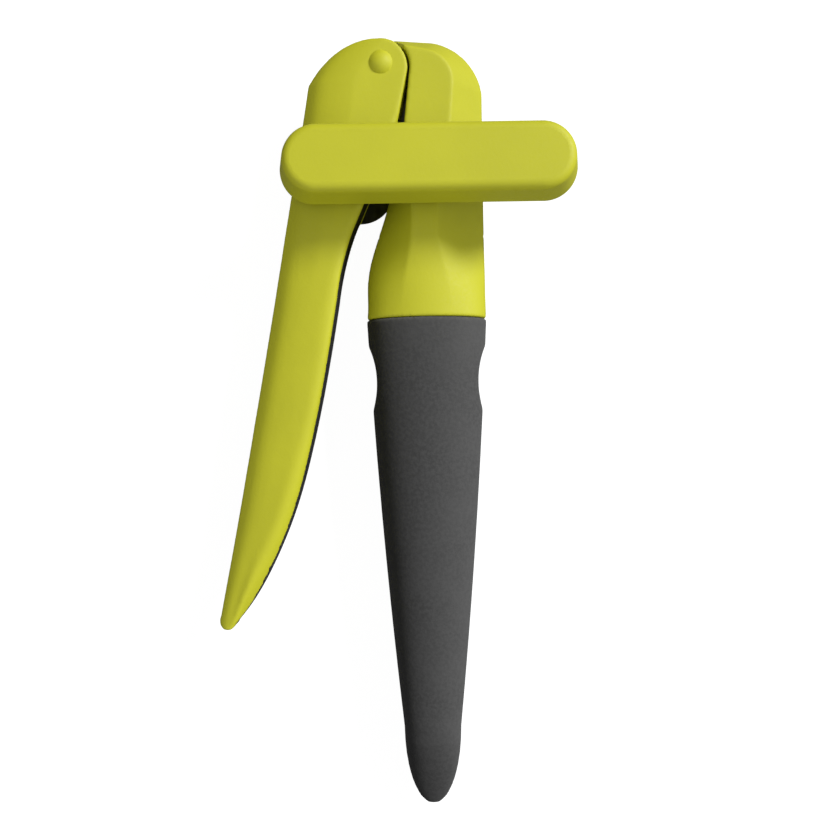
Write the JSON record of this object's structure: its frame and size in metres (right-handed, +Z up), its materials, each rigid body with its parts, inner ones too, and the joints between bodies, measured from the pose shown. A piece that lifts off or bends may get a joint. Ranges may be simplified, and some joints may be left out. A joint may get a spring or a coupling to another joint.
{
  "type": "can opener",
  "caption": "Hand-cranked can opener: fixed handle with a soft grip, a hinged squeeze lever, a T-shaped turning bar, and a feed wheel and cutting wheel behind the head.",
  "frame": {"origin": "on the flat along the back of the grip, on the grip's centre line, level with the table that the tool lies on", "axes": "+X across the handle, away from the squeeze lever; +Y from the grip towards the head; +Z up from the table, out of the front with the turning bar"},
  "size_m": [0.0927, 0.2018, 0.0355],
  "materials": {
    "lime_plastic": "satin lime green moulded plastic",
    "soft_grip": "matt dark grey soft-touch elastomer",
    "core_plastic": "moulded black plastic",
    "plate_steel": "stamped stainless steel",
    "screw_steel": "turned and plated steel",
    "wheel_steel": "hardened steel",
    "dark_steel": "blackened cutting steel",
    "bush_brass": "turned brass",
    "washer_nylon": "natural nylon"
  },
  "bodies": {
    "frame": {"handle_plate": "plate_steel", "body_front_cover": "lime_plastic", "body_back_cover": "lime_plastic", "body_screws": "screw_steel", "grip_core": "core_plastic", "grip_sleeve": "soft_grip", "shaft_bush": "bush_brass", "pivot_pin": "screw_steel", "pivot_washer": "washer_nylon", "pivot_clip": "screw_steel"},
    "lever": {"lever_plate": "plate_steel", "lever_front_cover": "lime_plastic", "lever_back_cover": "core_plastic", "lever_screws": "screw_steel", "pivot_cap": "lime_plastic", "cutter_screw": "screw_steel", "cutter_spacer": "screw_steel"},
    "cutter": {"cutter_wheel": "dark_steel"},
    "key": {"key_shell": "lime_plastic", "key_back_plate": "lime_plastic", "key_crossbar": "screw_steel", "key_screws": "screw_steel", "drive_shaft": "screw_steel", "thrust_washer": "washer_nylon", "spring_washer": "screw_steel", "feed_wheel": "wheel_steel", "feed_wheel_nut": "screw_steel"}
  },
  "joints": [
    {"name": "lever_pivot", "type": "hinge", "parent": "frame", "child": "lever", "pos_m": [-0.01065, 0.09285, 0.0105], "axis": [0, 0, 1], "range_deg": [-30, 6]},
    {"name": "key_turn", "type": "hinge", "parent": "frame", "child": "key", "pos_m": [0.001, 0.065, 0.0155], "axis": [0, 0, 1], "continuous": true},
    {"name": "cutter_spin", "type": "hinge", "parent": "lever", "child": "cutter", "pos_m": [-0.0172, 0.06475, 0.0045], "axis": [0, 0, 1], "continuous": true}
  ]
}
